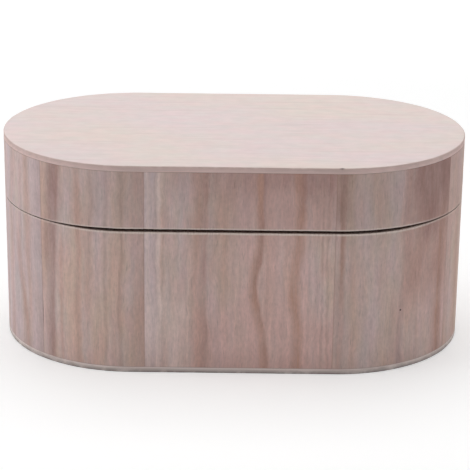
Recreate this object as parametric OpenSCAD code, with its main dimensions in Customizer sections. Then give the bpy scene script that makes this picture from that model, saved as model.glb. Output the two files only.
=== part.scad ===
// Oval wooden box: straight sides, half-round ends and a hinged lid.
// Upright staves are glued into a ring, closed by two thin panels and sawn apart at the seam.
// The box stands on z = 0 with its front towards -Y and its hinges on the back.

/* [Box] */
// Overall length of the box
box_len = 160; // [150:1:220]
// Overall width of the walls, which is the diameter of the round ends
box_w = 91; // [70:1:100]
// Height of the base with its bottom panel
base_h = 50.2; // [30:0.1:90]
// Height of the lid with its top panel
lid_h = 21.8; // [16:0.1:40]
// Open gap of the saw cut between base and lid
seam_gap = 1; // [0.4:0.1:1.5]
// Thickness of the walls
wall_t = 8; // [7.5:0.5:14]
// Rounding of the rims on both sides of the seam
rim_round = 0.3; // [0.1:0.1:1]

/* [Panels] */
// Thickness of the top panel
top_t = 2; // [1.5:0.5:4]
// Thickness of the bottom panel
bottom_t = 2; // [1.5:0.5:4]
// Rounding of the panels' free edges
panel_round = 0.4; // [0.1:0.1:1]

/* [Staves] */
// Straight stretch carried by the staves of the left end
left_tail = 5.2; // [0.5:0.1:6]
// Straight stretch carried by the staves of the right end
right_tail = 0.5; // [0.5:0.1:6]
// Turn of the left end's outer staves, in degrees
left_turn = 41; // [30:0.5:70]
// Turn of the right end's outer staves, in degrees
right_turn = 58; // [30:0.5:70]

/* [Hinges] */
// Length of each hinge
hinge_len = 18; // [14:1:19]
// Distance from the start of a round end to the near end of its hinge
hinge_inset = 5.5; // [5.5:0.5:8]
// Reach of a leaf from the hinge axis
leaf_w = 8; // [7:0.5:10]
// Thickness of a leaf
leaf_t = 0.8; // [0.8:0.1:1.2]
// Rounding of a leaf's free corners
leaf_corner = 1; // [0.2:0.1:1.5]
// Gap between a leaf's long edge and the barrel
leaf_gap = 0.3; // [0.2:0.1:0.6]
// Diameter of the pin
pin_d = 1.5; // [1.2:0.1:2]
// Thickness of a knuckle round its bore
knuckle_t = 0.7; // [0.6:0.1:1]
// Gap between neighbouring knuckles
knuckle_gap = 0.2; // [0.15:0.05:0.4]
// Gap between the barrel and the plane of the wall
barrel_gap = 0.15; // [0.1:0.05:0.4]
// Radial clearance of the pin in the knuckles
pin_clear = 0.05; // [0.02:0.01:0.1]
// Diameter of the peened heads of the pin
pin_head_d = 2.2; // [2:0.1:2.8]
// Thickness of the peened heads of the pin
pin_head_t = 0.4; // [0.2:0.1:0.6]

/* [Screws] */
// Distance between the two screws of a leaf
screw_pitch = 11; // [8:0.5:11.5]
// Distance of the screws from the hinge axis
screw_reach = 4.9; // [4.4:0.1:5.2]
// Diameter of the countersunk head
screw_head_d = 2.8; // [2.4:0.1:3]
// Diameter of the shank
screw_d = 1.6; // [1.4:0.1:1.8]
// Length of the screw
screw_len = 6; // [4:0.5:7]
// Length of the screw's point
screw_point = 1.2; // [0.6:0.1:1.5]
// Width of the driver slot
slot_w = 0.45; // [0.3:0.05:0.6]
// Depth of the driver slot
slot_depth = 0.3; // [0.2:0.05:0.4]
// Clearance round the screws
screw_clear = 0.05; // [0.02:0.01:0.1]

/* [Magnets] */
// Diameter of the closing magnets
magnet_d = 4; // [3:0.5:5]
// Distance of the closing magnets' middle from the front face
magnet_in = 5; // [2.5:0.1:5.5]
// Thickness of the closing magnets
magnet_t = 3; // [2:0.5:4]
// Rounding of the magnets' edges
magnet_round = 0.2; // [0.1:0.05:0.4]
// Radial clearance of the magnets in their pockets
magnet_clear = 0.05; // [0.02:0.01:0.2]

/* [Hidden] */
$fn = 96;
// Extra depth by which a cut passes the face that it opens
over = 1;

end_r = box_w / 2;
half_straight = (box_len - box_w) / 2;
lid_rim_z = base_h + seam_gap;
box_h = lid_rim_z + lid_h;

// Glued height and rim height of the base's walls and of the lid's
base_span = [bottom_t, base_h];
lid_span = [box_h - top_t, lid_rim_z];

// Left and right ends: side, straight stretch and turn of the outer staves
left_end = [-1, left_tail, left_turn];
right_end = [1, right_tail, right_turn];

// Knuckles of a hinge: the middle one is the lid's, the outer ones are the base's
knuckle_count = 3;
barrel_r = pin_d / 2 + pin_clear + knuckle_t;
barrel_y = barrel_gap + barrel_r;
hinge_z = base_h + seam_gap / 2;
hinge_x = half_straight - hinge_inset - hinge_len / 2;
knuckle_len = (hinge_len - (knuckle_count - 1) * knuckle_gap) / knuckle_count;
knuckle_pitch = knuckle_len + knuckle_gap;
leaf_start = barrel_r + leaf_gap;

// The two magnets stand proud by half the seam each and meet in its middle
magnet_proud = seam_gap / 2;
magnet_y = -(end_r - magnet_in);

wall_wood = [0.64, 0.55, 0.52];
panel_wood = [0.87, 0.81, 0.79];
brass = [0.78, 0.62, 0.34];
nickel = [0.74, 0.74, 0.72];

// Rectangle of w by h with both upper corners rounded by r
module eased_rectangle(w, h, r) {
    square([w, h - r]);
    translate([r, 0]) square([w - 2 * r, h]);
    for (x = [r, w - r])
        translate([x, h - r]) circle(r);
}

// Cross-section of a wall at its distance from the middle, glued at span[0] and with its rim at span[1]
module wall_section(span) {
    upside_down = span[1] < span[0] ? 1 : 0;
    translate([end_r - wall_t, span[0]])
        mirror([0, upside_down])
            eased_rectangle(wall_t, abs(span[1] - span[0]), rim_round);
}

// Straight stretch of the front wall from x = 0 to x = -run
module front_run(span, run) {
    rotate([90, 0, -90]) linear_extrude(run) wall_section(span);
}

// Places what is drawn for the right end, with its centre at the origin, at either end
module at_end(end) {
    mirror([end[0] < 0 ? 1 : 0, 0, 0])
        translate([half_straight, 0, 0]) children();
}

// Outer stave of a round end at the front, with its straight stretch
module front_stave(end, span) {
    at_end(end) {
        rotate_extrude(start = -90, angle = end[2]) wall_section(span);
        front_run(span, end[1]);
    }
}

module back_stave(end, span) {
    mirror([0, 1, 0]) front_stave(end, span);
}

module tip_stave(end, span) {
    at_end(end)
        rotate_extrude(start = end[2] - 90, angle = 180 - 2 * end[2]) wall_section(span);
}

// Straight board of the front, between the joints to the two ends
module front_board(span) {
    translate([half_straight - right_tail, 0, 0])
        front_run(span, 2 * half_straight - left_tail - right_tail);
}

// Front board with the pocket of its magnet in the rim
module front_board_with_pocket(span) {
    rim_side = sign(span[1] - span[0]);
    difference() {
        front_board(span);
        translate([0, magnet_y, span[1] - rim_side * (magnet_t - magnet_proud)])
            mirror([0, 0, rim_side < 0 ? 1 : 0])
                cylinder(h = magnet_t + over, r = magnet_d / 2 + magnet_clear);
    }
}

// Places what is drawn for a hinge, with the wall's face at y = 0 and the axis at z = 0
module at_hinge(side) {
    translate([side * hinge_x, end_r, hinge_z]) children();
}

// Places of the screws of both hinges on the leaves above the seam (up = 1) or below it (up = -1)
module at_screws(up) {
    for (side = [-1, 1])
        at_hinge(side) leaf_screw_places(up) children();
}

module leaf_screw_places(up) {
    for (x = [-1, 1])
        translate([x * screw_pitch / 2, leaf_t, up * screw_reach])
            rotate([90, 0, 0]) children();
}

// Screw along +Z with the top of its head at z = 0, grown by a clearance all round
module screw_body(clear) {
    head_r = screw_head_d / 2 + clear;
    shank_r = screw_d / 2 + clear;
    cone_h = head_r - shank_r;
    cylinder(h = cone_h, r1 = head_r, r2 = shank_r);
    cylinder(h = screw_len - screw_point + clear, r = shank_r);
    translate([0, 0, screw_len - screw_point + clear])
        cylinder(h = screw_point, r1 = shank_r, r2 = clear);
}

module screw() {
    difference() {
        screw_body(0);
        translate([-screw_head_d, -slot_w / 2, -over])
            cube([2 * screw_head_d, slot_w, slot_depth + over]);
    }
}

// Back board with the pilot holes of the hinge screws
module back_board_with_holes(span) {
    difference() {
        mirror([0, 1, 0]) front_board(span);
        at_screws(sign(span[0] - span[1])) screw_body(screw_clear);
    }
}

// Profile of a panel from its middle to its edge, with the free edge rounded
module panel_section(t) {
    square([end_r - panel_round, t]);
    square([end_r, t - panel_round]);
    translate([end_r - panel_round, t - panel_round]) circle(panel_round);
}

// Panel lying on z = 0 with its rounded edge on top
module panel(t) {
    for (side = [-1, 1])
        translate([side * half_straight, 0, 0])
            rotate_extrude(start = side * 90 - 180, angle = 180) panel_section(t);
    for (side = [0, 1])
        mirror([0, side, 0])
            translate([-half_straight, 0, 0])
                rotate([90, 0, 90]) linear_extrude(2 * half_straight) panel_section(t);
}

// Knuckle with the strip of sheet that joins it to its leaf
module knuckle(x) {
    translate([x - knuckle_len / 2, 0, 0]) {
        translate([0, barrel_y, 0])
            rotate([0, 90, 0]) cylinder(h = knuckle_len, r = barrel_r);
        cube([knuckle_len, leaf_t, leaf_start]);
    }
}

// Leaf above the hinge axis with knuckles at the given places, bored for the pin and its screws
module upper_leaf(knuckle_places) {
    difference() {
        union() {
            translate([-hinge_len / 2, leaf_t, leaf_start])
                rotate([90, 0, 0])
                    linear_extrude(leaf_t)
                        eased_rectangle(hinge_len, leaf_w - leaf_start, leaf_corner);
            for (x = knuckle_places)
                knuckle(x);
        }
        translate([-hinge_len / 2 - over, barrel_y, 0])
            rotate([0, 90, 0])
                cylinder(h = hinge_len + 2 * over, r = pin_d / 2 + pin_clear);
        leaf_screw_places(1) screw_body(screw_clear);
    }
}

// Pin between two peened heads
module hinge_pin() {
    translate([-hinge_len / 2 - pin_head_t, barrel_y, 0])
        rotate([0, 90, 0]) {
            cylinder(h = hinge_len + 2 * pin_head_t, r = pin_d / 2);
            for (z = [0, hinge_len + pin_head_t])
                translate([0, 0, z]) cylinder(h = pin_head_t, r = pin_head_d / 2);
        }
}

// Disc magnet standing on z = 0
module magnet() {
    rotate_extrude() difference() {
        translate([-magnet_d / 2, 0]) union() {
            translate([0, magnet_round]) square([magnet_d, magnet_t - 2 * magnet_round]);
            translate([magnet_round, 0]) square([magnet_d - 2 * magnet_round, magnet_t]);
            for (x = [magnet_round, magnet_d - magnet_round], y = [magnet_round, magnet_t - magnet_round])
                translate([x, y]) circle(magnet_round);
        }
        translate([-magnet_d, -over]) square([magnet_d, magnet_t + 2 * over]);
    }
}

module base_bottom_panel() { color(panel_wood) translate([0, 0, bottom_t]) mirror([0, 0, 1]) panel(bottom_t); }
module base_front_board() { color(wall_wood) front_board_with_pocket(base_span); }
module base_back_board() { color(wall_wood) back_board_with_holes(base_span); }
module base_left_front_stave() { color(wall_wood) front_stave(left_end, base_span); }
module base_left_tip_stave() { color(wall_wood) tip_stave(left_end, base_span); }
module base_left_back_stave() { color(wall_wood) back_stave(left_end, base_span); }
module base_right_front_stave() { color(wall_wood) front_stave(right_end, base_span); }
module base_right_tip_stave() { color(wall_wood) tip_stave(right_end, base_span); }
module base_right_back_stave() { color(wall_wood) back_stave(right_end, base_span); }

module lid_top_panel() { color(panel_wood) translate([0, 0, box_h - top_t]) panel(top_t); }
module lid_front_board() { color(wall_wood) front_board_with_pocket(lid_span); }
module lid_back_board() { color(wall_wood) back_board_with_holes(lid_span); }
module lid_left_front_stave() { color(wall_wood) front_stave(left_end, lid_span); }
module lid_left_tip_stave() { color(wall_wood) tip_stave(left_end, lid_span); }
module lid_left_back_stave() { color(wall_wood) back_stave(left_end, lid_span); }
module lid_right_front_stave() { color(wall_wood) front_stave(right_end, lid_span); }
module lid_right_tip_stave() { color(wall_wood) tip_stave(right_end, lid_span); }
module lid_right_back_stave() { color(wall_wood) back_stave(right_end, lid_span); }

module base_leaf(side) {
    color(brass) at_hinge(side)
        mirror([0, 0, 1]) upper_leaf([-knuckle_pitch, knuckle_pitch]);
}
module lid_leaf(side) {
    color(brass) at_hinge(side) upper_leaf([0]);
}
module left_hinge_base_leaf() { base_leaf(-1); }
module right_hinge_base_leaf() { base_leaf(1); }
module left_hinge_lid_leaf() { lid_leaf(-1); }
module right_hinge_lid_leaf() { lid_leaf(1); }
module left_hinge_pin() { color(brass) at_hinge(-1) hinge_pin(); }
module right_hinge_pin() { color(brass) at_hinge(1) hinge_pin(); }
module base_hinge_screws() { color(brass) at_screws(-1) screw(); }
module lid_hinge_screws() { color(brass) at_screws(1) screw(); }
module base_magnet() { color(nickel) translate([0, magnet_y, hinge_z - magnet_t]) magnet(); }
module lid_magnet() { color(nickel) translate([0, magnet_y, hinge_z]) magnet(); }

base_bottom_panel();
base_front_board();
base_back_board();
base_left_front_stave();
base_left_tip_stave();
base_left_back_stave();
base_right_front_stave();
base_right_tip_stave();
base_right_back_stave();
lid_top_panel();
lid_front_board();
lid_back_board();
lid_left_front_stave();
lid_left_tip_stave();
lid_left_back_stave();
lid_right_front_stave();
lid_right_tip_stave();
lid_right_back_stave();
left_hinge_base_leaf();
right_hinge_base_leaf();
left_hinge_lid_leaf();
right_hinge_lid_leaf();
left_hinge_pin();
right_hinge_pin();
base_hinge_screws();
lid_hinge_screws();
base_magnet();
lid_magnet();
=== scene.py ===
"""Oval wooden box of glued-up staves with pale panels, brass hinges and a magnet catch, in studio light."""

import math
from collections import namedtuple

import bmesh
import bpy
from bpy.props import FloatProperty, FloatVectorProperty, PointerProperty
from bpy.types import Operator, Panel, PropertyGroup
from mathutils import Matrix, Vector, noise


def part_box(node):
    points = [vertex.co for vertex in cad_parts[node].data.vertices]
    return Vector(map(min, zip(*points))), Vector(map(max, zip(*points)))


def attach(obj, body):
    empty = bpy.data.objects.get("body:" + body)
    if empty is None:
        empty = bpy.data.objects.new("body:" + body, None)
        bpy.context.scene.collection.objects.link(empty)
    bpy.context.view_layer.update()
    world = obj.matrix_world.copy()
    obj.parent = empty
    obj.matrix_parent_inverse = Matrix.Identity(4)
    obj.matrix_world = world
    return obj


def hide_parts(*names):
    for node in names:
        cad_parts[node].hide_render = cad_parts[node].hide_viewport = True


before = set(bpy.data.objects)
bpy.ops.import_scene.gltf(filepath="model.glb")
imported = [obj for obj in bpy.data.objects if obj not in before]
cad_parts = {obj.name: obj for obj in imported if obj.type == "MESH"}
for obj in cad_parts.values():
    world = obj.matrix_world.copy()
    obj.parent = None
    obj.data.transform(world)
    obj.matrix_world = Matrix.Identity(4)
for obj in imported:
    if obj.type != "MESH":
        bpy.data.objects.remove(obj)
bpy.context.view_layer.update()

bl_info = {
    "name": "Oval Wooden Box",
    "version": (1, 0, 0),
    "blender": (4, 5, 0),
    "location": "3D View > Sidebar > Oval Box",
    "description": "Dresses the oval box with sawn stave walls, veneer panels, brass hinges and a studio",
    "category": "Object",
}

MM = 0.001

# Camera
IMAGE_SIDE_PX = 470
SENSOR_MM = 36
NEAREST_SEEN = 10 * MM

# Points closer than WELD are one point
WELD = 0.001 * MM
# Faces of a CAD node that meet below this angle are one flat face
FLAT_ANGLE = math.radians(0.1)
# Edges of the metal above this angle are softened
SOFTENED_ANGLE = math.radians(40)
# Edges above these angles are shaded as edges
METAL_EDGE_ANGLE = math.radians(25)
WOOD_EDGE_ANGLE = math.radians(35)

# Radius of the hinge screws' pilot holes
PILOT_R = 0.85 * MM
# Room left round the magnets and past the screws' tips
CLEARANCE = 0.05 * MM
# How far outside the wood a drill starts
DRILL_LEAD = 1 * MM
DRILL_SIDES = 32

# Rows of the wall's mesh: on each side, across the rim as shares of its thickness, and on its roundings
WALL_ROWS = 5
RIM_SHARES = (0.12, 0.5, 0.88)
RIM_STEPS = 3
# Heights below the rim of the finely meshed band and of the torn fibres
RIM_BAND = 1.2 * MM
TORN_BAND = 0.75 * MM
# Tears of the saw as strength and wavelength, and the roughness below which nothing tears
SAW_TEARS = ((0.6, 1.3 * MM), (0.7, 9 * MM))
TEAR_LIMIT = 0.05
# Pale torn look of the rim's inner edge, where the outer edge has 1
INNER_TORN = 0.4
# Shares of the rounding and of the torn look that are lost where the saw cut is narrowest
PINCH_ROUNDING_LOSS = 0.5
PINCH_TORN_LOSS = 0.6
RIM_WAVELENGTH = 14 * MM
PANEL_WAVELENGTH = 7 * MM
# Added to a stave's seed for the wear of its lid part
LID_SEED = 50

# Rings of a panel's faces as shares of the way in from its edge
EDGE_RING = 0.03
FACE_RINGS = (0.33, 0.66, 1)
# Darkening and the nick's darkness up the quarter turn of a panel's rounded corner; on the bottom panel the
# darkening is painted contact shadow with soil, and in the nick the darkness is painted shade and dirt
CORNER_DARKENING = (0.6, 1, 1, 0.5, 0)
NICK_MARK = (0, 0.2, 1, 0.9, 0)
# Places across the nick as shares of its width
NICK_SHARES = (-0.5, -0.25, 0, 0.25, 0.5)


def srgb(red, green, blue):
    """Linear colour of an sRGB colour given from 0 to 255."""
    def linear(value):
        share = value / 255
        return share / 12.92 if share <= 0.04045 else ((share + 0.055) / 1.055) ** 2.4
    return linear(red), linear(green), linear(blue)


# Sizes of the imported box

PANEL_LOW, PANEL_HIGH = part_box("lid_top_panel")
FLOOR_PANEL_LOW, FLOOR_PANEL_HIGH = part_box("base_bottom_panel")
BASE_BOARD_LOW, BASE_BOARD_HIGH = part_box("base_front_board")
LID_BOARD_LOW, LID_BOARD_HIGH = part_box("lid_front_board")

END_R = PANEL_HIGH.y
HALF_STRAIGHT = PANEL_HIGH.x - END_R
HALF_ROUND = math.pi * END_R
PERIMETER = 4 * HALF_STRAIGHT + 2 * HALF_ROUND
WALL_T = BASE_BOARD_HIGH.y - BASE_BOARD_LOW.y
SEAM_Z = (BASE_BOARD_HIGH.z + LID_BOARD_LOW.z) / 2
LEAF_FACE_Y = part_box("base_hinge_screws")[1].y

# Perimeter distance runs from the middle of the front to the right, and on round the back
LEFT_JOINT = BASE_BOARD_LOW.x
RIGHT_JOINT = BASE_BOARD_HIGH.x
LEFT_TURN = math.asin((-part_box("base_left_front_stave")[0].x - HALF_STRAIGHT) / END_R)
RIGHT_TURN = math.asin((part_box("base_right_front_stave")[1].x - HALF_STRAIGHT) / END_R)
BACK_START = HALF_STRAIGHT + HALF_ROUND
BACK_END = BACK_START + 2 * HALF_STRAIGHT
STAVE_SPANS = {
    "left_tip_stave": (BACK_END + END_R * LEFT_TURN - PERIMETER, -HALF_STRAIGHT - END_R * LEFT_TURN),
    "left_front_stave": (-HALF_STRAIGHT - END_R * LEFT_TURN, LEFT_JOINT),
    "front_board": (LEFT_JOINT, RIGHT_JOINT),
    "right_front_stave": (RIGHT_JOINT, HALF_STRAIGHT + END_R * RIGHT_TURN),
    "right_tip_stave": (HALF_STRAIGHT + END_R * RIGHT_TURN, BACK_START - END_R * RIGHT_TURN),
    "right_back_stave": (BACK_START - END_R * RIGHT_TURN, BACK_START + HALF_STRAIGHT - RIGHT_JOINT),
    "back_board": (BACK_START + HALF_STRAIGHT - RIGHT_JOINT, BACK_END - HALF_STRAIGHT - LEFT_JOINT),
    "left_back_stave": (BACK_END - HALF_STRAIGHT - LEFT_JOINT, BACK_END + END_R * LEFT_TURN),
}

# Grain of each stave: seed, brightness of its base and of its lid part, share of the cooler tint, streaks and
# small dark holes
Stave = namedtuple("Stave", "seed base_tone lid_tone cool streaks spots", defaults=[()])
# Streak between two perimeter distances in mm, with the widths of its soft edges, its strength and tint, its
# bends as shifts in mm between two heights, and the heights between which it shows
Streak = namedtuple("Streak", "start end edge_1 edge_2 strength tint bends low high",
                    defaults=["red", (), -20.0, 100.0])
# Dark hole at a perimeter distance and a height in mm
Spot = namedtuple("Spot", "place height half_width half_height")
# Heights in mm over which a streak fades out at its upper and lower end, and over which the base's brightness
# turns into the lid's on each side of the seam
STREAK_FADE = 14
TONE_FADE = 8
# Bends of the wavy streak in the front board
WAVE = ((5, 33, -4.2), (33, 48, 2.2))
# Tints of the broad soft streaks, where the others are broken up by the grain's lines
SOFT_TINTS = ("rose", "pale", "cool")
# Swing of the grain's lines to the sides in mm, over long and over short stretches
GRAIN_WANDER = 4.0
GRAIN_RIPPLE = 2.0
# Greenish and reddish ends of the faint flushes that the wood's colour is multiplied by
WALL_FLUSH = ((0.97, 1.012, 0.992), (1.03, 0.984, 1.0))
PANEL_FLUSH = ((0.979, 1.012, 1.005), (1.021, 0.988, 0.995))
# Shares of the dark tint in a glue joint's eased edge and of the hole's tint in the nick, where it is painted
# shade and dirt
JOINT_DARKNESS = 0.45
NICK_SHADE_AND_DIRT = 0.8

STAVES = {
    # Partly painted reflection: the left tip's high share of the cooler tint greys the wood where the view
    # grazes it
    "left_tip_stave": Stave(1.0, 0.94, 0.96, 0.85, [
        Streak(-77.5, -74.8, 2.5, 2.5, 0.6, bends=((5, 36, -5),), high=40),
        Streak(-73.5, -66, 3, 0.5, 0.5, "cool"),
        Streak(-69.5, -66, 4, 0.3, 0.25, "plum"),
    ]),
    "left_front_stave": Stave(2.0, 1.01, 0.92, 0.36, [
        Streak(-64.8, -60.8, 5, 1.4, 0.45, "plum", bends=((44, 60, 1.2),)),
        Streak(-63.6, -61.2, 2.5, 1.4, 0.3, "plum", bends=((44, 60, 1.2),)),
        Streak(-65.5, -59.8, 4, 2.4, 0.42, "plum", bends=((44, 60, 1.2),), low=32),
        Streak(-59, -57.8, 1.2, 1.2, 0.5, high=47),
        Streak(-53, -51, 1.4, 1.6, 0.5),
        Streak(-42.5, -41.5, 1, 1, 0.15, "dark"),
        Streak(-37.6, -36.5, 1, 1.4, 0.35, "dark"),
        Streak(-38.4, -35.5, 1.4, 2, 0.3, "plum", low=58),
        Streak(-34, -29, 6, 0.3, 0.3),
        Streak(-32.2, -29, 3, 0.3, 0.15, "dark"),
    ], [Spot(-67, 17, 0.22, 6.5)]),
    "front_board": Stave(3.0, 1.04, 0.97, 0.45, [
        Streak(2, 24, 6, 4, 0.6, "rose"),
        Streak(23, 27, 2, 3, 0.45, "rose", high=46),
        Streak(-14, 40, 6, 4, 0.7, "rose", high=22),
        Streak(-14, 40, 10, 4, 0.2, "plum", high=4),
        Streak(4, 40, 10, 4, 0.6, "rose", low=50),
        Streak(-12, 40, 10, 4, 0.15, "plum", low=50),
        Streak(-4, 40, 14, 4, 0.42, "plum", low=65),
        Streak(-29.5, -25, 0.3, 4, 0.85, "cool"),
        Streak(-29.5, -15, 0.3, 4, 0.4, "pale", high=28),
        Streak(-29.5, -22, 0.3, 4, 0.3, "plum", high=7),
        Streak(-28.8, -27.6, 1, 1.2, 0.5, "pale"),
        Streak(-25.2, -24, 0.9, 1.1, 0.65, "pale"),
        Streak(-12.4, -8, 3.4, 1.8, 0.5),
        Streak(-10.2, -8, 1.8, 1.4, 0.3, "plum"),
        Streak(-9, -5, 2, 3, 0.18, "plum", high=50),
        Streak(-21, -5, 7, 4, 0.36, "plum", low=66),
        Streak(9.7, 12.4, 2.6, 1.4, 0.8, bends=WAVE),
        Streak(11, 12.1, 1.3, 0.9, 0.3, "dark", bends=WAVE, high=52),
        Streak(10.4, 12.4, 1.6, 1, 0.4, "plum", bends=WAVE, low=38, high=56),
        Streak(12.2, 13.2, 0.8, 0.8, 0.35, "plum", bends=WAVE, low=58),
        Streak(20.1, 23.3, 2.5, 2.2, 0.9, bends=((10, 32, -1.2), (32, 50, 2))),
        Streak(22, 38, 4, 1, 0.42, "plum", low=60),
        Streak(29.6, 30.4, 0.8, 0.8, 0.25, "dark"),
        Streak(31.5, 32.3, 0.8, 0.8, 0.25, "dark"),
    ]),
    "right_front_stave": Stave(4.0, 0.94, 0.85, 0.4, [
        Streak(29, 51, 4, 8, 0.13, "pale", high=48),
        Streak(71, 80, 4, 2, 0.15, "plum", low=10, high=50),
        Streak(35.2, 37.4, 1.4, 1.4, 0.4),
        Streak(35, 37.4, 1.4, 1.4, 0.4, low=26),
        Streak(35.4, 36.6, 1, 1, 0.3, "dark", low=26),
        Streak(33, 39, 1, 2, 0.6, "plum", low=56),
        Streak(38, 41, 2, 2, 0.2),
        Streak(56.4, 58.8, 1.2, 1.8, 0.4, "plum", bends=((8, 45, 1.6),)),
        Streak(57.5, 84, 4, 1, 0.6, "rose", low=22),
        Streak(71, 84, 6, 1, 0.6, "rose"),
        Streak(59, 84, 6, 1, 0.35, low=26),
        Streak(59.5, 84, 4, 1, 0.2, "plum", low=26),
        Streak(65, 84, 9, 1, 0.62, "plum", low=46),
        Streak(62, 84, 6, 1, 0.7, "plum", low=62),
        Streak(74.4, 78.6, 3, 2, 0.75, high=54),
        Streak(75.6, 77.8, 2, 1.6, 0.4, "dark", high=54),
    ], [Spot(57.8, 21.5, 0.45, 0.45)]),
    "right_tip_stave": Stave(5.0, 0.96, 0.89, 0.25, [
        Streak(80, 92, 1, 6, 0.5, "rose", low=46),
        Streak(88, 91, 3, 3, 0.2),
        Streak(101, 104, 3, 2, 0.5),
        Streak(118, 122, 4, 2, 0.5),
    ]),
    "right_back_stave": Stave(6.0, 1.0, 1.0, 0.5, [
        Streak(141, 146, 5, 1.5, 0.6),
        Streak(158, 160, 2, 1, 0.5, "dark"),
        Streak(168, 171, 3, 3, 0.4),
    ]),
    "back_board": Stave(7.0, 1.0, 1.0, 0.3, [
        Streak(176, 214, 12, 16, 0.5, "rose"),
        Streak(185, 189, 3, 1.2, 0.7),
        Streak(204, 206, 1.6, 2.4, 0.6, bends=((10, 60, 3),)),
        Streak(221, 227, 5, 2, 0.5),
        Streak(236, 237.2, 0.8, 1.2, 0.5, "dark"),
    ]),
    "left_back_stave": Stave(8.0, 1.0, 1.0, 0.6, [
        Streak(252, 256, 4, 1.4, 0.6),
        Streak(266, 268, 1.5, 1.5, 0.5, "dark"),
    ]),
}


def number(name, description, default, **kind):
    """Setting for a number."""
    return FloatProperty(name=name, description=description, default=default, **kind)


def length(name, description, default, **limits):
    """Setting for a length or a place."""
    return number(name, description, default, unit="LENGTH", **limits)


def angle(name, description, degrees):
    """Setting for an angle."""
    return number(name, description, math.radians(degrees), subtype="ANGLE")


def power(name, description, default):
    """Setting for a light's power."""
    return number(name, description, default, min=0, unit="POWER")


def colour(name, description, value):
    """Setting for a colour."""
    return FloatVectorProperty(
        name=name, description=description, subtype="COLOR", size=3, min=0, max=1, default=value)


class OvalBoxShape(PropertyGroup):
    """Small shapes that hand work leaves on the wood and the metal."""

    step: length(
        "Station spacing", "Distance between the mesh's stations along the walls", 0.7 * MM, min=0.1 * MM)
    rim_round: length("Rim rounding", "Rounding of the sawn rims", 0.3 * MM, min=0.05 * MM)
    rim_chip: length("Rim chips", "How much further the saw has torn the outer rim edges", 0.35 * MM, min=0)
    rim_wave: length("Rim waviness", "How far the saw cut dips below the straight rim", 0.08 * MM, min=0)
    pinch_left: length("Left pinch", "Place along the box left of which the saw cut is narrowest", -66 * MM)
    pinch_right: length("Right pinch", "Place along the box right of which the saw cut is narrowest", 76 * MM)
    pinch_reach: length(
        "Pinch reach", "Distance from each pinch to where the saw cut is fully open", 24 * MM, min=1 * MM)
    pinch_depth: length(
        "Pinch depth", "How far each rim stands up where the saw cut is narrowest", 0.37 * MM, min=0)
    groove_width: length(
        "Joint groove width", "Width of the eased edge at each glue joint", 0.25 * MM, min=0.05 * MM)
    groove_depth: length("Joint groove depth", "Depth of the eased edge at each glue joint", 0.06 * MM, min=0)
    panel_round: length("Panel rounding", "Rounding of the panels' free edges", 0.4 * MM, min=0.05 * MM)
    panel_wear: length("Panel wear", "How much the rounding varies along the panels", 0.12 * MM, min=0)
    glue_ease: length("Glue edge", "Bevel of the panels' edges along the glue line", 0.12 * MM, min=0.01 * MM)
    nick_place: length("Nick place", "Perimeter distance of the nick in the top panel's edge", 35.5 * MM)
    nick_width: length("Nick width", "Width of the nick in the top panel's edge", 2.4 * MM, min=0.1 * MM)
    nick_depth: length("Nick depth", "Depth of the nick in the top panel's edge", 0.3 * MM, min=0)
    hinge_bevel: length("Hinge edges", "Bevel of the hinges' sharp edges", 0.12 * MM, min=0.01 * MM)
    small_bevel: length(
        "Small metal edges", "Bevel of the screws' and magnets' sharp edges", 0.05 * MM, min=0.01 * MM)


class OvalBoxWood(PropertyGroup):
    """Colours of the bare wood."""

    warm: colour("Warm wood", "Warm tint of the walls", srgb(221, 191, 177))
    cool: colour("Cool wood", "Cool tint of the walls", srgb(221, 200, 201))
    rose: colour("Rose wood", "Rose tint of the broad flushes", srgb(224, 187, 180))
    pale: colour("Pale wood", "Tint of the pale growth lines", srgb(244, 221, 214))
    red: colour("Red streaks", "Tint of the reddish streaks", srgb(200, 157, 141))
    plum: colour("Plum wood", "Tint of the dusky upper parts", srgb(167, 128, 121))
    dark: colour("Dark streaks", "Tint of the dark growth lines", srgb(166, 122, 108))
    hole: colour("Holes", "Tint inside small holes and open joints", srgb(40, 28, 22))
    # Dark end grain, darkened further with painted shade so that the seam between lid and base looks dark
    end_grain: colour("End grain", "Tint of the sawn rims", srgb(92, 68, 57))
    fresh: colour("Fresh edge", "Tint of the torn fibres along the rims", srgb(238, 222, 213))
    panel: colour("Panel", "Main tint of the panels", srgb(225, 209, 208))
    panel_warm: colour("Warm panel", "Warmer patches of the panels", srgb(226, 211, 204))
    panel_line: colour("Panel grain", "Fine grain lines of the panels", srgb(205, 187, 182))
    top_edge: colour("Top panel edge", "Tint of the top panel's cut edge", srgb(242, 213, 208))
    top_corner: colour("Top panel corner", "Tint of the top panel's handled corner", srgb(203, 177, 170))
    # Partly painted light: the bottom panel's cut edge is lightened as if lit by bounce light from the floor
    bottom_edge: colour("Bottom panel edge", "Tint of the bottom panel's cut edge", srgb(250, 236, 231))
    # Painted contact shadow with soil on the bottom panel's lower rounded corner
    bottom_corner: colour(
        "Bottom panel corner", "Tint of the soiled corner that the box stands on", srgb(92, 76, 70))


class OvalBoxMetal(PropertyGroup):
    """Colours of the small hardware."""

    brass: colour("Brass", "Plated brass of the hinges", srgb(222, 186, 118))
    screw: colour("Screws", "Plated brass of the screws", srgb(200, 160, 94))
    tarnish: colour("Tarnish", "Darker stain on the brass", srgb(150, 112, 62))
    # Painted shade with grime in the screw slots and along the wood
    grime: colour("Grime", "Dirt in the slots and along the wood", srgb(70, 50, 30))
    nickel: colour("Nickel", "Plating of the magnets", srgb(186, 186, 183))


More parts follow.
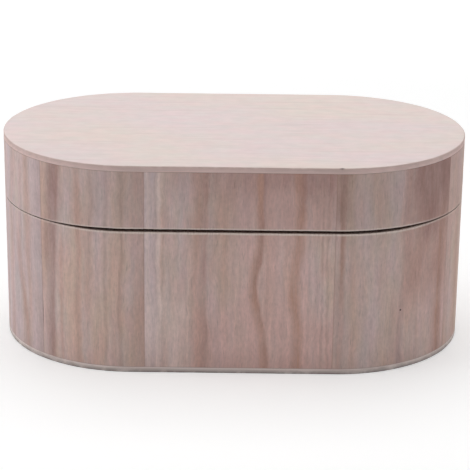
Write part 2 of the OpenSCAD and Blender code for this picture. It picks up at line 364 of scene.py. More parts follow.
class OvalBoxStage(PropertyGroup):
    """Camera, floor and light."""

    yaw: angle("Yaw", "Turn of the camera to the right", -0.13)
    pitch: angle("Pitch", "How far the camera looks down", 19.48)
    roll: angle("Roll", "Turn of the camera about its view", 0.65)
    distance: length("Distance", "Distance from the camera to its target", 680.2 * MM)
    target: FloatVectorProperty(
        name="Target", description="Point that the camera looks at", subtype="XYZ", size=3,
        default=(0.65 * MM, 0, 33.53 * MM))
    focal_px: number("Focal length", "Focal length in pixels of the square picture", 1917.7)
    ambient: number("Ambient", "Strength of the room's even light", 0.15, min=0)
    top_power: power("Top light", "Power of the light over the box", 6.0)
    front_power: power("Front light", "Power of the high light in front of the box", 1.05)
    back_power: power("Back light", "Power of the high light behind the box", 1.0)
    left_power: power("Left light", "Power of the light at the left", 2.05)
    right_power: power("Right light", "Power of the light at the right", 0.9)
    floor_bounce: number("Floor bounce", "Share of the light that the floor throws back", 0.75, min=0, max=1)
    floor_lift: number("Floor lift", "Glow that brings the floor to white for the camera", 0.35, min=0)
    shadow_reach: length(
        "Shadow reach", "Distance from the box up to which the floor shows its shadow", 300 * MM, min=10 * MM)


SETTINGS = {
    "oval_box_shape": OvalBoxShape,
    "oval_box_wood": OvalBoxWood,
    "oval_box_metal": OvalBoxMetal,
    "oval_box_stage": OvalBoxStage,
}


# Materials

class Finish:
    """A material or world under construction, with short ways to add and link its nodes."""

    def __init__(self, owner):
        self.owner = owner
        owner.use_nodes = True
        self.tree = owner.node_tree
        self.tree.nodes.clear()

    def feed(self, socket, value):
        """Links a socket to another one or sets its value."""
        if isinstance(value, bpy.types.NodeSocket):
            self.tree.links.new(value, socket)
        elif isinstance(socket, bpy.types.NodeSocketColor) and len(value) == 3:
            socket.default_value = (*value, 1)
        else:
            socket.default_value = value

    def node(self, kind, inputs=(), **settings):
        """New node with its settings and inputs."""
        made = self.tree.nodes.new(kind)
        for name, value in settings.items():
            setattr(made, name, value)
        for name, value in dict(inputs).items():
            self.feed(made.inputs[name], value)
        return made

    def attribute(self, name):
        return self.node("ShaderNodeAttribute", attribute_name=name)

    def math(self, operation, *values):
        return self.node("ShaderNodeMath", enumerate(values), operation=operation).outputs[0]

    def noise(self, vector, sizes, seed, detail=2.0, roughness=0.5):
        """Noise whose grains have a size along each axis."""
        shares = [1 / size for size in sizes]
        place = self.node("ShaderNodeVectorMath", {0: vector, 1: shares}, operation="MULTIPLY").outputs[0]
        inputs = {"Vector": place, "W": seed, "Scale": 1.0, "Detail": detail, "Roughness": roughness}
        return self.node("ShaderNodeTexNoise", inputs, noise_dimensions="4D").outputs[0]

    def ramp(self, value, low, high, to_low=0.0, to_high=1.0):
        """Value taken smoothly from one range to another."""
        inputs = {"Value": value, "From Min": low, "From Max": high, "To Min": to_low, "To Max": to_high}
        return self.node("ShaderNodeMapRange", inputs, interpolation_type="SMOOTHSTEP").outputs[0]

    def mix(self, factor, first, second, blend="MIX"):
        inputs = {0: factor, 6: first, 7: second}
        return self.node("ShaderNodeMix", inputs, data_type="RGBA", blend_type=blend).outputs[2]

    def band(self, value, start, end, edge_1, edge_2):
        """1 between start and end, falling off over the two edges."""
        rise = self.ramp(value, start - edge_1 / 2, start + edge_1 / 2)
        fall = self.ramp(value, end - edge_2 / 2, end + edge_2 / 2, 1.0, 0.0)
        return self.math("MULTIPLY", rise, fall)

    def bump(self, height, strength, distance):
        inputs = {"Height": height, "Strength": strength, "Distance": distance}
        return self.node("ShaderNodeBump", inputs).outputs[0]

    def output(self, shader, kind="Material"):
        self.node(f"ShaderNodeOutput{kind}", {"Surface": shader.outputs[0]})
        return self.owner


def stave_wood(name, stave, wood):
    """Bare wood of one stave with its grain along the height, the same in the base and in the lid."""
    finish = Finish(bpy.data.materials.new(f"{name}_wood"))
    grain = finish.attribute("grain_mm").outputs["Vector"]
    place, depth, height = finish.node("ShaderNodeSeparateXYZ", {0: grain}).outputs
    wander = finish.noise(grain, (20, 30, 45), stave.seed)
    ripple = finish.noise(grain, (3, 12, 9), stave.seed + 5, 3)
    straight = place
    place = finish.math("MULTIPLY_ADD", finish.math("SUBTRACT", wander, 0.5), GRAIN_WANDER, place)
    place = finish.math("MULTIPLY_ADD", finish.math("SUBTRACT", ripple, 0.5), GRAIN_RIPPLE, place)
    grain = finish.node("ShaderNodeCombineXYZ", {0: place, 1: depth, 2: height}).outputs[0]

    broad = finish.noise(grain, (6, 30, 110), stave.seed + 10)
    lines = finish.noise(grain, (1.3, 12, 45), stave.seed + 20, 3, 0.6)
    fibres = finish.noise(grain, (0.35, 0.9, 4), stave.seed + 30, 3, 0.6)
    pores = finish.noise(grain, (0.33, 0.4, 5), stave.seed + 40, 1)
    tint = finish.noise(grain, (7, 40, 45), stave.seed + 50, 3)
    flush = finish.noise(grain, (5, 12, 14), stave.seed + 55, 3)
    mottle = finish.noise(grain, (2.5, 6, 6), stave.seed + 60, 3)
    patches = finish.noise(grain, (4, 12, 20), stave.seed + 65, 3)
    flecks = finish.noise(grain, (0.8, 2, 1.6), stave.seed + 68, 2)

    cool_share = finish.ramp(tint, 0.3, 0.7, stave.cool - 0.4, stave.cool + 0.4)
    surface = finish.mix(cool_share, wood.warm, wood.cool)
    flush = finish.mix(finish.ramp(flush, 0.3, 0.7), *WALL_FLUSH)
    surface = finish.mix(1.0, surface, flush, "MULTIPLY")
    surface = finish.mix(finish.ramp(broad, 0.46, 0.7, 0.0, 0.4), surface, wood.red)
    cloudy = finish.ramp(patches, 0.3, 0.7, 0.6, 1.3)
    broken = finish.math("MULTIPLY", finish.ramp(lines, 0.3, 0.65, 0.65, 1.1), cloudy)
    for line in stave.streaks:
        across = place
        for low, high, shift in line.bends:
            across = finish.math("SUBTRACT", across, finish.ramp(height, low, high, 0.0, shift))
        share = finish.band(across, line.start, line.end, line.edge_1, line.edge_2)
        if line.low > 0 or line.high < PANEL_HIGH.z / MM:
            ends = finish.band(height, line.low, line.high, STREAK_FADE, STREAK_FADE)
            share = finish.math("MULTIPLY", share, ends)
        share = finish.math("MULTIPLY", share, cloudy if line.tint in SOFT_TINTS else broken)
        share = finish.math("MULTIPLY", share, line.strength)
        surface = finish.mix(share, surface, getattr(wood, line.tint))

    seam = SEAM_Z / MM
    shade = finish.ramp(height, seam - TONE_FADE, seam + TONE_FADE, stave.base_tone, stave.lid_tone)
    for texture, low, high, dark, light in (
            (lines, 0.25, 0.75, 0.92, 1.07), (fibres, 0.2, 0.8, 0.91, 1.08), (mottle, 0.25, 0.75, 0.95, 1.05),
            (flecks, 0.25, 0.75, 0.94, 1.06), (pores, 0.6, 0.74, 1.0, 0.8)):
        shade = finish.math("MULTIPLY", shade, finish.ramp(texture, low, high, dark, light))
    surface = finish.mix(1.0, surface, shade, "MULTIPLY")
    for spot in stave.spots:
        offset = finish.node("ShaderNodeCombineXYZ", {
            0: finish.math("DIVIDE", finish.math("SUBTRACT", straight, spot.place), spot.half_width),
            1: depth,
            2: finish.math("DIVIDE", finish.math("SUBTRACT", height, spot.height), spot.half_height),
        }).outputs[0]
        away = finish.node("ShaderNodeVectorMath", {0: offset}, operation="LENGTH").outputs["Value"]
        surface = finish.mix(finish.ramp(away, 0.5, 1.0, 0.9, 0.0), surface, wood.hole)

    # The sawn rims take the end grain's tint, which holds painted shade for the seam between lid and base
    normal = finish.node("ShaderNodeTexCoord").outputs["Normal"]
    upright = finish.math("ABSOLUTE", finish.node("ShaderNodeSeparateXYZ", {0: normal}).outputs[2])
    speckle = finish.noise(grain, (0.5, 0.5, 3), stave.seed + 70, 3, 0.7)
    end_grain = finish.mix(finish.ramp(speckle, 0.35, 0.65, 0.0, 0.6), wood.end_grain, surface)
    surface = finish.mix(finish.ramp(upright, 0.85, 0.98), surface, end_grain)
    rim = finish.attribute("rim_edge").outputs["Fac"]
    torn = finish.math("MULTIPLY", rim, finish.ramp(fibres, 0.3, 0.6, 0.4, 1.0))
    surface = finish.mix(torn, surface, wood.fresh)
    joint = finish.attribute("joint").outputs["Fac"]
    surface = finish.mix(finish.math("MULTIPLY", joint, JOINT_DARKNESS), surface, wood.dark)

    relief = finish.math("MULTIPLY_ADD", lines, 0.5, fibres)
    relief = finish.math("SUBTRACT", relief, finish.ramp(pores, 0.6, 0.78, 0.0, 0.8))
    shader = finish.node("ShaderNodeBsdfPrincipled", {
        "Base Color": surface,
        "Roughness": finish.ramp(fibres, 0.25, 0.75, 0.6, 0.8),
        "Specular IOR Level": 0.5,
        "Normal": finish.bump(relief, 0.25, 0.1 * MM),
    })
    return finish.output(shader)


def panel_wood(name, wood, seed, edge_tint, corner_tint):
    """Pale sanded veneer with its grain along the box, a tinted cut edge and a darkened corner; on the bottom
    panel the cut edge is lightened with painted bounce light and the corner darkened with painted contact
    shadow and soil.
    """
    finish = Finish(bpy.data.materials.new(name))
    coordinates = finish.node("ShaderNodeTexCoord").outputs
    place = coordinates["Object"]
    patches = finish.noise(place, (60 * MM, 26 * MM, 26 * MM), seed)
    lines = finish.noise(place, (40 * MM, 1.6 * MM, 1.2 * MM), seed + 10, 3, 0.6)
    fibres = finish.noise(place, (9 * MM, 0.3 * MM, 0.3 * MM), seed + 20, 3, 0.6)
    dashes = finish.noise(place, (6 * MM, 3.5 * MM, 3.5 * MM), seed + 40, 3, 0.6)
    flush = finish.noise(place, (9 * MM, 6 * MM, 6 * MM), seed + 50, 3)
    surface = finish.mix(finish.ramp(patches, 0.35, 0.7), wood.panel, wood.panel_warm)
    flush = finish.mix(finish.ramp(flush, 0.3, 0.7), *PANEL_FLUSH)
    surface = finish.mix(1.0, surface, flush, "MULTIPLY")
    surface = finish.mix(1.0, surface, finish.ramp(dashes, 0.25, 0.75, 0.965, 1.035), "MULTIPLY")
    surface = finish.mix(finish.ramp(lines, 0.5, 0.78, 0.0, 0.45), surface, wood.panel_line)
    surface = finish.mix(finish.ramp(fibres, 0.56, 0.8, 0.0, 0.4), surface, wood.panel_line)
    normal = finish.node("ShaderNodeSeparateXYZ", {0: coordinates["Normal"]}).outputs
    upright = finish.math("ABSOLUTE", normal[2])
    cut = finish.mix(finish.ramp(lines, 0.4, 0.7, 0.0, 0.5), edge_tint, wood.panel_line)
    surface = finish.mix(finish.ramp(upright, 0.2, 0.7), cut, surface)
    # Darkening of the rounded corner, broken up in patches; on the bottom panel it is painted contact shadow
    # with soil
    darkening_patches = finish.noise(place, (5 * MM, 5 * MM, 5 * MM), seed + 30, 3, 0.6)
    corner = finish.math("MULTIPLY", finish.attribute("corner").outputs["Fac"],
                         finish.ramp(darkening_patches, 0.35, 0.55, 0.4, 0.9))
    surface = finish.mix(corner, surface, corner_tint)
    # Painted shade and dirt in the nick, in the holes' dark tint
    nick = finish.math("MULTIPLY", finish.attribute("nick").outputs["Fac"], NICK_SHADE_AND_DIRT)
    surface = finish.mix(nick, surface, wood.hole)
    shader = finish.node("ShaderNodeBsdfPrincipled", {
        "Base Color": surface,
        "Roughness": finish.ramp(fibres, 0.25, 0.75, 0.6, 0.8),
        "Specular IOR Level": 0.25,
        "Normal": finish.bump(finish.math("ADD", lines, fibres), 0.15, 0.08 * MM),
    })
    return finish.output(shader)


# Depths below the face of the hinge leaves at which the painted shade and grime start and are thickest, and
# their thickest share
SHADE_AND_GRIME_START = 0.02 * MM
SHADE_AND_GRIME_FULL = 0.2 * MM
SHADE_AND_GRIME_SHARE = 0.85


def plated_metal(name, bright, stain, seed, stain_share, grime=None):
    """Satin plating with fine wear lines, a little stain, and painted shade with grime below the face of the
    hinge leaves, in the screw slots and along the wood.
    """
    finish = Finish(bpy.data.materials.new(name))
    place = finish.node("ShaderNodeTexCoord").outputs["Object"]
    clouds = finish.noise(place, (3 * MM, 3 * MM, 3 * MM), seed, 4, 0.6)
    scratches = finish.noise(place, (6 * MM, 0.12 * MM, 0.12 * MM), seed + 10, 2)
    surface = finish.mix(finish.ramp(clouds, 0.45, 0.75, 0.0, stain_share), bright, stain)
    if grime is not None:
        # Painted shade with grime: everything sunk below the leaves' face is darkened
        outward = finish.node("ShaderNodeSeparateXYZ", {0: place}).outputs[1]
        sunk = finish.ramp(outward, LEAF_FACE_Y - SHADE_AND_GRIME_FULL, LEAF_FACE_Y - SHADE_AND_GRIME_START, SHADE_AND_GRIME_SHARE, 0.0)
        surface = finish.mix(sunk, surface, grime)
    roughness = finish.math("ADD", finish.ramp(clouds, 0.3, 0.7, 0.2, 0.34),
                            finish.ramp(scratches, 0.5, 0.75, 0.0, 0.15))
    shader = finish.node("ShaderNodeBsdfPrincipled", {
        "Base Color": surface,
        "Metallic": 1.0,
        "Roughness": roughness,
        "Normal": finish.bump(scratches, 0.12, 0.03 * MM),
    })
    return finish.output(shader)


# Meshes

def perimeter_point(place):
    """Point of the outer wall face at a perimeter distance, and the outward direction there."""
    along = (place + HALF_STRAIGHT) % PERIMETER - HALF_STRAIGHT
    if along <= HALF_STRAIGHT:
        return Vector((along, -END_R, 0)), Vector((0, -1, 0))
    if along <= BACK_START:
        turn = (along - HALF_STRAIGHT) / END_R
        outward = Vector((math.sin(turn), -math.cos(turn), 0))
        return Vector((HALF_STRAIGHT, 0, 0)) + outward * END_R, outward
    if along <= BACK_END:
        return Vector((HALF_STRAIGHT + BACK_START - along, END_R, 0)), Vector((0, 1, 0))
    turn = (along - BACK_END) / END_R
    outward = Vector((-math.sin(turn), math.cos(turn), 0))
    return Vector((-HALF_STRAIGHT, 0, 0)) + outward * END_R, outward


def stations(start, end, step):
    """Perimeter distances from start to end about a step apart, and the ends of the straight sides."""
    tangents = [HALF_STRAIGHT, BACK_START, BACK_END]
    tangents += [t - PERIMETER for t in tangents] + [PERIMETER - HALF_STRAIGHT, -HALF_STRAIGHT]
    breaks = [start, *sorted(t for t in set(tangents) if start + step / 2 < t < end - step / 2), end]
    places = [start]
    for low, high in zip(breaks, breaks[1:]):
        count = math.ceil((high - low) / step)
        places += [low + (high - low) * (i + 1) / count for i in range(count)]
    return places


def wear(place, seed, wavelength):
    """Smooth noise from -1 to 1 along the perimeter."""
    return noise.noise(Vector((place / wavelength, seed, 0.5)))


def quarter(steps):
    """Shares of a rounding's radius along a quarter turn: how far in, how far up."""
    turns = [math.pi / 2 * i / steps for i in range(steps + 1)]
    return [(1 - math.cos(turn), math.sin(turn)) for turn in turns]


def pinch_share(x, shape):
    """1 at the two ends of the box, where the saw cut is narrow, falling to 0 where it is fully open."""
    inside = min(x - shape.pinch_left, shape.pinch_right - x)
    share = min(1, max(0, 1 - inside / shape.pinch_reach))
    return share * share * (3 - 2 * share)


def wall_section(place, glue_z, rim_z, seed, shape):
    """Corners of the wall's cross-section: depth from the outer face, height, and torn look of the rim."""
    up = 1 if rim_z > glue_z else -1
    torn = max(0, sum(strength * wear(place, seed, span) for strength, span in SAW_TEARS) - TEAR_LIMIT)
    pinch = pinch_share(perimeter_point(place)[0].x, shape)
    outer = (shape.rim_round + shape.rim_chip * torn) * (1 - PINCH_ROUNDING_LOSS * pinch)
    outer_torn = 1 - PINCH_TORN_LOSS * pinch
    inner = shape.rim_round
    dip = shape.rim_wave * abs(wear(place, seed + 3, RIM_WAVELENGTH))
    rim = rim_z + up * (shape.pinch_depth * pinch - dip)
    wall = [row / WALL_ROWS for row in range(WALL_ROWS + 1)]
    near_rim = rim - up * RIM_BAND
    rounding = quarter(RIM_STEPS)
    points = [(shape.groove_depth, glue_z, 0), (0, glue_z + up * shape.groove_width, 0)]
    points += [(0, glue_z + (near_rim - glue_z) * share, 0) for share in wall[1:]]
    points += [(0, rim - up * TORN_BAND, 0)]
    points += [(outer * inward, rim - up * outer * (1 - rise), outer_torn) for inward, rise in rounding]
    points += [(WALL_T * share, rim, 0) for share in RIM_SHARES]
    points += [(WALL_T - inner * inward, rim - up * inner * (1 - rise), INNER_TORN)
               for inward, rise in reversed(rounding)]
    points += [(WALL_T, near_rim + (glue_z - near_rim) * share, 0) for share in wall]
    return points


def shaded_object(mesh, edge_angle):
    """Object of a mesh, smooth but for its edges above an angle."""
    mesh.shade_smooth()
    mesh.set_sharp_from_angle(angle=edge_angle)
    piece = bpy.data.objects.new(mesh.name, mesh)
    bpy.context.scene.collection.objects.link(piece)
    return piece


def wooden_object(name, points, faces, values):
    """Object of a new mesh with named values at its points."""
    mesh = bpy.data.meshes.new(name)
    mesh.from_pydata(points, [], faces)
    for attribute, rows in values.items():
        is_vector = hasattr(rows[0], "__len__")
        made = mesh.attributes.new(attribute, "FLOAT_VECTOR" if is_vector else "FLOAT", "POINT")
        flat = [number for row in rows for number in row] if is_vector else rows
        made.data.foreach_set("vector" if is_vector else "value", flat)
    mesh.validate()
    return shaded_object(mesh, WOOD_EDGE_ANGLE)


def wall_piece(name, span, glue_z, rim_z, seed, shape):
    """One stave or board: its cross-section carried along its span of the perimeter."""
    start, end = span
    places = stations(start, end, shape.step)
    places.insert(1, start + shape.groove_width)
    places.insert(-1, end - shape.groove_width)
    points, grain, edges, joints, faces = [], [], [], [], []
    for index, place in enumerate(places):
        is_joint = index in (0, len(places) - 1)
        point, outward = perimeter_point(place)
        section = wall_section(place, glue_z, rim_z, seed, shape)
        for corner, (depth, z, edge) in enumerate(section):
            groove = shape.groove_depth if is_joint else 0
            inset = depth + groove * (1 - 2 * depth / WALL_T)
            points.append(point - outward * inset + Vector((0, 0, z)))
            grain.append((place / MM, depth / MM, z / MM))
            edges.append(edge)
            joints.append(1 if is_joint or corner == 0 else 0)
    count = len(section)
    flip = rim_z < glue_z
    for row in range(len(places) - 1):
        for i in range(count):
            j = (i + 1) % count
            face = (row * count + i, (row + 1) * count + i, (row + 1) * count + j, row * count + j)
            faces.append(face[::-1] if flip else face)
    first = list(range(count))
    last = [len(points) - count + i for i in first]
    faces += [first[::-1] if flip else first, last if flip else last[::-1]]
    values = {"grain_mm": grain, "rim_edge": edges, "joint": joints}
    return wooden_object(name, points, faces, values)


def panel_piece(name, face_z, glue_z, shape, seed, nick_place=None):
    """Oval panel with its free edge rounded at face_z."""
    up = 1 if face_z > glue_z else -1
    places = stations(-HALF_STRAIGHT, PERIMETER - HALF_STRAIGHT, shape.step)[:-1]
    if nick_place is not None:
        across = [nick_place + shape.nick_width * share for share in NICK_SHARES]
        # A place on the straight front has its partner at the back, so that the two halves of the panel meet
        partners = [PERIMETER / 2 - place for place in across if abs(place) < HALF_STRAIGHT]
        places = sorted(places + across + partners)
    points, corners, nicks, faces = [], [], [], []
    for place in places:
        point, outward = perimeter_point(place)
        rounding = shape.panel_round + shape.panel_wear * wear(place, seed, PANEL_WAVELENGTH)
        nick = 0
        if nick_place is not None:
            nick = max(0, 1 - abs(place - nick_place) / (shape.nick_width / 2))
            rounding += shape.nick_depth * nick
        # Each point of the rounded corner carries its share of the darkening, which is painted contact shadow
        # with soil on the bottom panel, and of the nick's painted shade
        corner = zip(quarter(len(CORNER_DARKENING) - 1), CORNER_DARKENING, NICK_MARK)
        rings = [(END_R * share, glue_z, 0, 0) for share in reversed(FACE_RINGS)]
        rings += [(shape.glue_ease, glue_z, 0, 0), (0, glue_z + up * shape.glue_ease, 0, 0)]
        rings += [(rounding * inward, face_z - up * rounding * (1 - rise), darkening, mark)
                  for (inward, rise), darkening, mark in corner]
        rings += [(END_R * share, face_z, 0, 0) for share in (EDGE_RING, *FACE_RINGS)]
        points += [point - outward * inset + Vector((0, 0, z)) for inset, z, _, _ in rings]
        corners += [darkening for _, _, darkening, _ in rings]
        nicks += [nick * mark for _, _, _, mark in rings]
    count = len(rings)
    for row in range(len(places)):
        following = (row + 1) % len(places)
        for i in range(count - 1):
            face = (row * count + i, following * count + i, following * count + i + 1, row * count + i + 1)
            faces.append(face if up > 0 else face[::-1])
    piece = wooden_object(name, points, faces, {"corner": corners, "nick": nicks})
    shaped = bmesh.new()
    shaped.from_mesh(piece.data)
    bmesh.ops.remove_doubles(shaped, verts=shaped.verts, dist=WELD)
    shaped.to_mesh(piece.data)
    shaped.free()
    return piece


def drill(piece, places, radius, axis, depth):
    """Cuts round holes into a piece, from each place along an axis."""
    drills = bmesh.new()
    turn = Vector((0, 0, 1)).rotation_difference(axis).to_matrix().to_4x4()
    for place in places:
        at = Matrix.Translation(place + axis * depth / 2) @ turn
        bmesh.ops.create_cone(
            drills, cap_ends=True, segments=DRILL_SIDES,
            radius1=radius, radius2=radius, depth=depth, matrix=at)
    mesh = bpy.data.meshes.new("drill")
    drills.to_mesh(mesh)
    drills.free()
    cutter = bpy.data.objects.new("drill", mesh)
    bpy.context.scene.collection.objects.link(cutter)
    cut = piece.modifiers.new("holes", "BOOLEAN")
    cut.object = cutter
    cut.solver = "EXACT"
    bpy.context.view_layer.update()
    drilled = bpy.data.meshes.new_from_object(piece.evaluated_get(bpy.context.evaluated_depsgraph_get()))
    piece.modifiers.remove(cut)
    piece.data = drilled
    bpy.data.objects.remove(cutter)


def set_board_grain(piece, place_at):
    """Takes a straight board's grain from its points again, so that it runs on round the drilled holes."""
    for point, grain in zip(piece.data.vertices, piece.data.attributes["grain_mm"].data):
        grain.vector = Vector((place_at(point.co.x), END_R - abs(point.co.y), point.co.z)) / MM


def dress(piece, material, body, node):
    """Gives a new piece its finish and lets it stand for its CAD node."""
    piece.data.materials.clear()
    piece.data.materials.append(material)
    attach(piece, body)
    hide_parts(node)


def metal_piece(node, bevel):
    """Piece like a CAD node, with its sharp edges softened."""
    shaped = bmesh.new()
    shaped.from_mesh(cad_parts[node].data)
    bmesh.ops.remove_doubles(shaped, verts=shaped.verts, dist=WELD)
    bmesh.ops.dissolve_degenerate(shaped, edges=shaped.edges, dist=WELD)
    bmesh.ops.dissolve_limit(shaped, angle_limit=FLAT_ANGLE, verts=shaped.verts, edges=shaped.edges)
    sharp = [edge for edge in shaped.edges if edge.calc_face_angle(0) > SOFTENED_ANGLE]
    bmesh.ops.bevel(
        shaped, geom=sharp, offset=bevel, segments=2, profile=0.5, affect="EDGES", clamp_overlap=True)
    bmesh.ops.dissolve_degenerate(shaped, edges=shaped.edges, dist=WELD)
    mesh = bpy.data.meshes.new(f"{node}_metal")
    shaped.to_mesh(mesh)
    shaped.free()
    old_normals = mesh.attributes.get("custom_normal")
    if old_normals is not None:
        mesh.attributes.remove(old_normals)
    return shaded_object(mesh, METAL_EDGE_ANGLE)


def magnet_pocket(magnet, rim_z):
    """Centre of a magnet's pocket at the height of its rim, its radius and its depth."""
    low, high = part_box(magnet)
    middle = (low + high) / 2
    radius = (high.x - low.x) / 2 + CLEARANCE
    return Vector((middle.x, middle.y, rim_z)), radius, max(high.z - rim_z, rim_z - low.z)


def screw_places(node):
    """Centres of a leaf's screws, one for each separate solid of the node, on the back wall's face."""
    solids = bmesh.new()
    solids.from_mesh(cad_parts[node].data)
    bmesh.ops.remove_doubles(solids, verts=solids.verts, dist=WELD)
    left, places = set(solids.verts), []
    while left:
        group, queue = set(), [left.pop()]
        while queue:
            vert = queue.pop()
            group.add(vert)
            linked = {edge.other_vert(vert) for edge in vert.link_edges} & left
            left -= linked
            queue += linked
        xs = [vert.co.x for vert in group]
        zs = [vert.co.z for vert in group]
        places.append(Vector(((min(xs) + max(xs)) / 2, END_R, (min(zs) + max(zs)) / 2)))
    solids.free()
    return sorted(places, key=lambda place: place.x)


def build_walls(body, glue_z, rim_z, context):
    """All staves and boards of the base or of the lid."""
    shape, wood = context.scene.oval_box_shape, context.scene.oval_box_wood
    into_wood = Vector((0, 0, glue_z - rim_z)).normalized()
    outward = Vector((0, 1, 0))
    for stave_name, span in STAVE_SPANS.items():
        node = f"{body}_{stave_name}"
        stave = STAVES[stave_name]
        seed = stave.seed + (LID_SEED if body == "lid" else 0)
        piece = wall_piece(f"{node}_wood", span, glue_z, rim_z, seed, shape)
        if stave_name == "front_board":
            place, radius, depth = magnet_pocket(f"{body}_magnet", rim_z)
            drill(piece, [place - into_wood * DRILL_LEAD], radius, into_wood, depth + DRILL_LEAD)
            set_board_grain(piece, lambda x: x)
        if stave_name == "back_board":
            screws = f"{body}_hinge_screws"
            places = [place + outward * DRILL_LEAD for place in screw_places(screws)]
            reach = END_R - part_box(screws)[0].y
            drill(piece, places, PILOT_R, -outward, reach + DRILL_LEAD + CLEARANCE)
            set_board_grain(piece, lambda x: BACK_START + HALF_STRAIGHT - x)
        material = bpy.data.materials.get(f"{stave_name}_wood") or stave_wood(stave_name, stave, wood)
        dress(piece, material, body, node)


class OVALBOX_OT_base_walls(Operator):
    """Build the staves and boards of the base"""

    bl_idname = "ovalbox.base_walls"
    bl_label = "Base Walls"

    def execute(self, context):
        build_walls("base", BASE_BOARD_LOW.z, BASE_BOARD_HIGH.z, context)
        return {"FINISHED"}


class OVALBOX_OT_lid_walls(Operator):
    """Build the staves and boards of the lid"""

    bl_idname = "ovalbox.lid_walls"
    bl_label = "Lid Walls"

    def execute(self, context):
        build_walls("lid", LID_BOARD_HIGH.z, LID_BOARD_LOW.z, context)
        return {"FINISHED"}


class OVALBOX_OT_panels(Operator):
    """Build the bottom panel and the top panel"""

    bl_idname = "ovalbox.panels"
    bl_label = "Panels"

    def execute(self, context):
        shape, wood = context.scene.oval_box_shape, context.scene.oval_box_wood
        top = panel_piece(
            "lid_top_panel_wood", PANEL_HIGH.z, PANEL_LOW.z, shape, seed=91.0, nick_place=shape.nick_place)
        top_wood = panel_wood(
            "top_panel_wood", wood, seed=21.0, edge_tint=wood.top_edge, corner_tint=wood.top_corner)
        dress(top, top_wood, "lid", "lid_top_panel")
        bottom = panel_piece(
            "base_bottom_panel_wood", FLOOR_PANEL_LOW.z, FLOOR_PANEL_HIGH.z, shape, seed=95.0)
        # The bottom panel's edge tint is lightened with painted bounce light from the floor, and its corner
        # tint is painted contact shadow with soil
        bottom_wood = panel_wood(
            "bottom_panel_wood", wood, seed=22.0, edge_tint=wood.bottom_edge, corner_tint=wood.bottom_corner)
        dress(bottom, bottom_wood, "base", "base_bottom_panel")
        return {"FINISHED"}


class OVALBOX_OT_hinges(Operator):
    """Build the hinge leaves and pins"""

    bl_idname = "ovalbox.hinges"
    bl_label = "Hinges"

    def execute(self, context):
        shape, metal = context.scene.oval_box_shape, context.scene.oval_box_metal
        brass = plated_metal(
            "hinge_brass", metal.brass, metal.tarnish, seed=31.0, stain_share=0.35, grime=metal.grime)
        for side in ("left", "right"):
            for part, body in (("base_leaf", "base"), ("lid_leaf", "lid"), ("pin", "base")):
                node = f"{side}_hinge_{part}"
                dress(metal_piece(node, shape.hinge_bevel), brass, body, node)
        return {"FINISHED"}


class OVALBOX_OT_screws(Operator):
    """Build the hinge screws"""

    bl_idname = "ovalbox.screws"
    bl_label = "Screws"

    def execute(self, context):
        shape, metal = context.scene.oval_box_shape, context.scene.oval_box_metal
        brass = plated_metal(
            "screw_brass", metal.screw, metal.tarnish, seed=32.0, stain_share=0.45, grime=metal.grime)
        for body in ("base", "lid"):
            node = f"{body}_hinge_screws"
            dress(metal_piece(node, shape.small_bevel), brass, body, node)
        return {"FINISHED"}


class OVALBOX_OT_magnets(Operator):
    """Build the closing magnets"""

    bl_idname = "ovalbox.magnets"
    bl_label = "Magnets"

    def execute(self, context):
        shape, metal = context.scene.oval_box_shape, context.scene.oval_box_metal
        nickel = plated_metal("magnet_nickel", metal.nickel, metal.tarnish, seed=33.0, stain_share=0.06)
        for body in ("base", "lid"):
            node = f"{body}_magnet"
            dress(metal_piece(node, shape.small_bevel), nickel, body, node)
        return {"FINISHED"}


# Stage

FLOOR_HALF_SIDE = 6
FLOOR_WHITE = (0.75, 0.75, 0.75)
# The floor fades to pure white between the shadow's reach and this many times it
WHITE_REACH = 3
# Place and side of each soft light in metres, and the setting that holds its power
LIGHTS = {
    "top_light": ((0, 0.15, 0.95), 0.9, "top_power"),
    "front_light": ((0, -0.75, 0.75), 0.8, "front_power"),
    "back_light": ((0, 0.75, 0.75), 0.8, "back_power"),
    "left_light": ((-0.8, -0.1, 0.35), 0.5, "left_power"),
    "right_light": ((0.8, -0.1, 0.35), 0.5, "right_power"),
}


def seen_ray(finish):
    """1 on rays that show the stage itself: from the camera, a reflection or glass."""
    rays = finish.node("ShaderNodeLightPath").outputs
    seen = finish.math("MAXIMUM", rays["Is Camera Ray"], rays["Is Glossy Ray"])
    return finish.math("MAXIMUM", seen, rays["Is Transmission Ray"])


def build_floor(stage):
    """Pale floor that shows the box's shadow and turns white further away."""
    finish = Finish(bpy.data.materials.new("pale_floor"))
    bounce = finish.node("ShaderNodeBsdfDiffuse", {"Color": (stage.floor_bounce,) * 3})
    white = finish.node("ShaderNodeBsdfDiffuse", {"Color": FLOOR_WHITE})
    place = finish.node("ShaderNodeTexCoord").outputs["Object"]
    away = finish.node("ShaderNodeVectorMath", {0: place}, operation="LENGTH").outputs["Value"]
    lift = finish.ramp(away, stage.shadow_reach, WHITE_REACH * stage.shadow_reach, stage.floor_lift, 1.0)
    glow = finish.node("ShaderNodeEmission", {"Color": (1, 1, 1), "Strength": lift})
    shown = finish.node("ShaderNodeAddShader", {0: white.outputs[0], 1: glow.outputs[0]})
    floor_mix = finish.node("ShaderNodeMixShader", {
        0: seen_ray(finish), 1: bounce.outputs[0], 2: shown.outputs[0]})
    mesh = bpy.data.meshes.new("floor")
    shape = bmesh.new()
    bmesh.ops.create_grid(shape, x_segments=1, y_segments=1, size=FLOOR_HALF_SIDE)
    shape.to_mesh(mesh)
    shape.free()
    mesh.materials.append(finish.output(floor_mix))
    floor = bpy.data.objects.new("floor", mesh)
    floor.location.z = FLOOR_PANEL_LOW.z
    bpy.context.scene.collection.objects.link(floor)


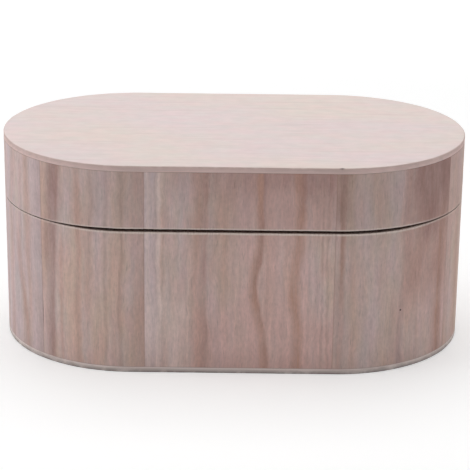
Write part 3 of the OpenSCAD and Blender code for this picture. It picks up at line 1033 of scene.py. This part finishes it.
def build_world(stage):
    """Even room light, white where it is seen."""
    studio = Finish(bpy.data.worlds.new("studio"))
    strength = studio.ramp(seen_ray(studio), 0, 1, stage.ambient, 1)
    light = studio.node("ShaderNodeBackground", {"Color": (1, 1, 1), "Strength": strength})
    bpy.context.scene.world = studio.output(light, "World")


def build_light(name, place, side, watts):
    """Soft square light that faces the middle of the box."""
    lamp = bpy.data.lights.new(name, "AREA")
    lamp.size = side
    lamp.energy = watts
    light = bpy.data.objects.new(name, lamp)
    light.location = place
    middle = Vector((0, 0, PANEL_HIGH.z / 2))
    light.rotation_euler = (middle - light.location).to_track_quat("-Z", "Y").to_euler()
    bpy.context.scene.collection.objects.link(light)


def build_camera(stage):
    """Camera at the photograph's viewing angle."""
    ahead = Vector((math.sin(stage.yaw) * math.cos(stage.pitch),
                    math.cos(stage.yaw) * math.cos(stage.pitch),
                    -math.sin(stage.pitch)))
    level = Vector((math.cos(stage.yaw), -math.sin(stage.yaw), 0))
    above = level.cross(ahead)
    right = level * math.cos(stage.roll) + above * math.sin(stage.roll)
    up = above * math.cos(stage.roll) - level * math.sin(stage.roll)
    lens = bpy.data.cameras.new("camera")
    lens.sensor_width = SENSOR_MM
    lens.lens = stage.focal_px * SENSOR_MM / IMAGE_SIDE_PX
    lens.clip_start = NEAREST_SEEN
    camera = bpy.data.objects.new("camera", lens)
    turn = Matrix((right, up, -ahead)).transposed().to_4x4()
    camera.matrix_world = Matrix.Translation(Vector(stage.target) - ahead * stage.distance) @ turn
    bpy.context.scene.collection.objects.link(camera)
    bpy.context.scene.camera = camera


class OVALBOX_OT_stage(Operator):
    """Set up the camera, the floor and the light"""

    bl_idname = "ovalbox.stage"
    bl_label = "Stage"

    def execute(self, context):
        stage = context.scene.oval_box_stage
        build_camera(stage)
        build_floor(stage)
        build_world(stage)
        for name, (place, side, setting) in LIGHTS.items():
            build_light(name, place, side, getattr(stage, setting))
        context.scene.view_settings.view_transform = "Standard"
        return {"FINISHED"}


OPERATORS = (
    OVALBOX_OT_base_walls,
    OVALBOX_OT_lid_walls,
    OVALBOX_OT_panels,
    OVALBOX_OT_hinges,
    OVALBOX_OT_screws,
    OVALBOX_OT_magnets,
    OVALBOX_OT_stage,
)


class OVALBOX_PT_tools(Panel):
    """Lists the pieces of the box and their settings"""

    bl_idname = "OVALBOX_PT_tools"
    bl_label = "Oval Box"
    bl_space_type = "VIEW_3D"
    bl_region_type = "UI"
    bl_category = "Oval Box"

    def draw(self, context):
        for operator in OPERATORS:
            self.layout.operator(operator.bl_idname)
        for name, group in SETTINGS.items():
            settings = getattr(context.scene, name)
            column = self.layout.column(heading=group.__name__)
            for key in group.__annotations__:
                column.prop(settings, key)


def register():
    for group in SETTINGS.values():
        bpy.utils.register_class(group)
    for name, group in SETTINGS.items():
        setattr(bpy.types.Scene, name, PointerProperty(type=group))
    for operator in OPERATORS:
        bpy.utils.register_class(operator)
    bpy.utils.register_class(OVALBOX_PT_tools)


def unregister():
    bpy.utils.unregister_class(OVALBOX_PT_tools)
    for operator in reversed(OPERATORS):
        bpy.utils.unregister_class(operator)
    for name, group in reversed(SETTINGS.items()):
        delattr(bpy.types.Scene, name)
        bpy.utils.unregister_class(group)


def main():
    """Builds the pieces and the stage."""
    register()
    bpy.ops.ovalbox.base_walls()
    bpy.ops.ovalbox.lid_walls()
    bpy.ops.ovalbox.panels()
    bpy.ops.ovalbox.hinges()
    bpy.ops.ovalbox.screws()
    bpy.ops.ovalbox.magnets()
    bpy.ops.ovalbox.stage()


if __name__ == "__main__":
    main()
